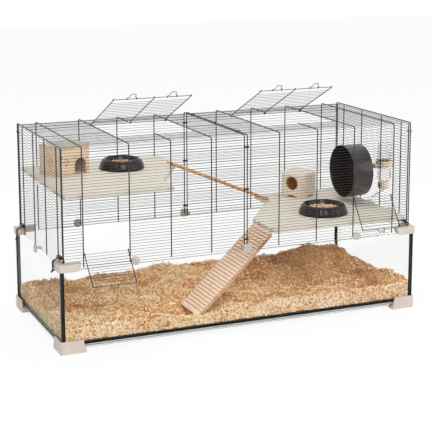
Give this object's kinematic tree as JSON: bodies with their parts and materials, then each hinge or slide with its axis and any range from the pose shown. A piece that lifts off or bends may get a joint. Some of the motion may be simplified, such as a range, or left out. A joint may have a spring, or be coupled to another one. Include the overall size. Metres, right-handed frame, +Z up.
{
  "type": "rodent cage",
  "caption": "Rodent cage with a glass tank of bedding below and a black wire top with hinged doors above, holding shelves, a ramp, a wheel, a house, a hide, bowls, a perch and a bottle.",
  "frame": {"origin": "on the floor, under the middle of the whole box with its doors open and its bottle hung", "axes": "+X along the length towards the bottle, +Y towards the back, +Z up; the front doors face -Y"},
  "size_m": [1.0539, 0.4984, 0.6211],
  "materials": {
    "clear_glass": "polished",
    "black_silicone": "satin",
    "beige_plastic": "satin",
    "black_wire": "satin",
    "black_plastic": "satin",
    "cream_plastic": "matte",
    "bare_wood": "matte",
    "plywood": "matte",
    "white_plastic": "satin",
    "wheel_plastic": "gloss",
    "bowl_plastic": "gloss",
    "seed_mix": "matte",
    "branch": "matte",
    "wood_chips": "matte",
    "clear_plastic": "polished",
    "steel": "polished"
  },
  "bodies": {
    "cage": {"glass_front": "clear_glass", "glass_back": "clear_glass", "glass_left": "clear_glass", "glass_right": "clear_glass", "glass_floor": "clear_glass", "corner_seals": "black_silicone", "base_seal": "black_silicone", "foot_front_left": "beige_plastic", "cap_front_left": "beige_plastic", "foot_front_right": "beige_plastic", "cap_front_right": "beige_plastic", "foot_back_left": "beige_plastic", "cap_back_left": "beige_plastic", "foot_back_right": "beige_plastic", "cap_back_right": "beige_plastic", "rim_clips": "beige_plastic", "left_net_uprights": "black_wire", "left_net_wires": "black_wire", "left_side_panel": "black_wire", "left_shelf": "cream_plastic", "right_net_uprights": "black_wire", "right_net_wires": "black_wire", "right_side_panel": "black_wire", "right_shelf": "cream_plastic", "joint_clips": "black_plastic", "corner_clips": "black_plastic", "wheel_axle": "white_plastic", "wheel_stand": "wheel_plastic", "house_walls": "plywood", "house_roof": "plywood", "hide": "plywood", "bowls": "bowl_plastic", "seed_fill": "seed_mix", "perch": "branch", "bottle": "clear_plastic", "bottle_cap": "beige_plastic", "bottle_spout": "steel", "bottle_holder": "beige_plastic", "bedding": "wood_chips"},
    "left_front_door": {"left_front_door": "black_wire"},
    "right_front_door": {"right_front_door": "black_wire"},
    "left_front_latch": {"left_front_latch": "black_wire"},
    "right_front_latch": {"right_front_latch": "black_wire"},
    "left_roof_door": {"left_roof_door": "black_wire"},
    "right_roof_door": {"right_roof_door": "black_wire"},
    "left_roof_latches": {"left_roof_latches": "black_wire"},
    "right_roof_latches": {"right_roof_latches": "black_wire"},
    "wheel": {"wheel_drum": "wheel_plastic"},
    "ramp": {"ramp_board": "bare_wood", "ramp_hooks": "white_plastic"},
    "lever_front_left": {"lever_front_left": "black_plastic"},
    "lever_front_right": {"lever_front_right": "black_plastic"},
    "lever_back_left": {"lever_back_left": "black_plastic"},
    "lever_back_right": {"lever_back_right": "black_plastic"}
  },
  "joints": [
    {"name": "left_front_door_hinge", "type": "hinge", "parent": "cage", "child": "left_front_door", "pos_m": [-0.39155, -0.1799, 0.24582], "axis": [1, 0, 0], "range_deg": [-135, 15]},
    {"name": "left_front_latch_turn", "type": "hinge", "parent": "left_front_door", "child": "left_front_latch", "pos_m": [-0.39155, -0.24057, 0.17808], "axis": [1, 0, 0], "range_deg": [-5, 60]},
    {"name": "left_roof_door_hinge", "type": "hinge", "parent": "cage", "child": "left_roof_door", "pos_m": [-0.22075, 0.13298, 0.5132], "axis": [-1, 0, 0], "range_deg": [-25, 85]},
    {"name": "left_roof_latch_turn", "type": "hinge", "parent": "left_roof_door", "child": "left_roof_latches", "pos_m": [-0.22075, -0.05341, 0.60564], "axis": [-1, 0, 0], "range_deg": [-25, 40]},
    {"name": "right_front_door_hinge", "type": "hinge", "parent": "cage", "child": "right_front_door", "pos_m": [0.36145, -0.1799, 0.31912], "axis": [1, 0, 0], "range_deg": [-145, 5]},
    {"name": "right_front_latch_turn", "type": "hinge", "parent": "right_front_door", "child": "right_front_latch", "pos_m": [0.36145, -0.22789, 0.24187], "axis": [1, 0, 0], "range_deg": [-5, 60]},
    {"name": "right_roof_door_hinge", "type": "hinge", "parent": "cage", "child": "right_roof_door", "pos_m": [0.19065, 0.13298, 0.5132], "axis": [-1, 0, 0], "range_deg": [-25, 85]},
    {"name": "right_roof_latch_turn", "type": "hinge", "parent": "right_roof_door", "child": "right_roof_latches", "pos_m": [0.19065, -0.05341, 0.60564], "axis": [-1, 0, 0], "range_deg": [-25, 40]},
    {"name": "lever_front_left_turn", "type": "hinge", "parent": "cage", "child": "lever_front_left", "pos_m": [-0.50455, -0.1493, 0.23849], "axis": [0, 1, 0], "range_deg": [0, 90]},
    {"name": "lever_front_right_turn", "type": "hinge", "parent": "cage", "child": "lever_front_right", "pos_m": [0.47445, -0.1493, 0.23849], "axis": [0, -1, 0], "range_deg": [0, 90]},
    {"name": "lever_back_left_turn", "type": "hinge", "parent": "cage", "child": "lever_back_left", "pos_m": [-0.50455, 0.2027, 0.23849], "axis": [0, 1, 0], "range_deg": [0, 90]},
    {"name": "lever_back_right_turn", "type": "hinge", "parent": "cage", "child": "lever_back_right", "pos_m": [0.47445, 0.2027, 0.23849], "axis": [0, -1, 0], "range_deg": [0, 90]},
    {"name": "wheel_spin", "type": "hinge", "parent": "cage", "child": "wheel", "pos_m": [0.42145, 0.0467, 0.3464], "axis": [1, 0, 0], "continuous": true},
    {"name": "ramp_lift", "type": "hinge", "parent": "cage", "child": "ramp", "pos_m": [0.07295, -0.1163, 0.2572], "axis": [0, 1, 0], "range_deg": [0, 15]}
  ]
}
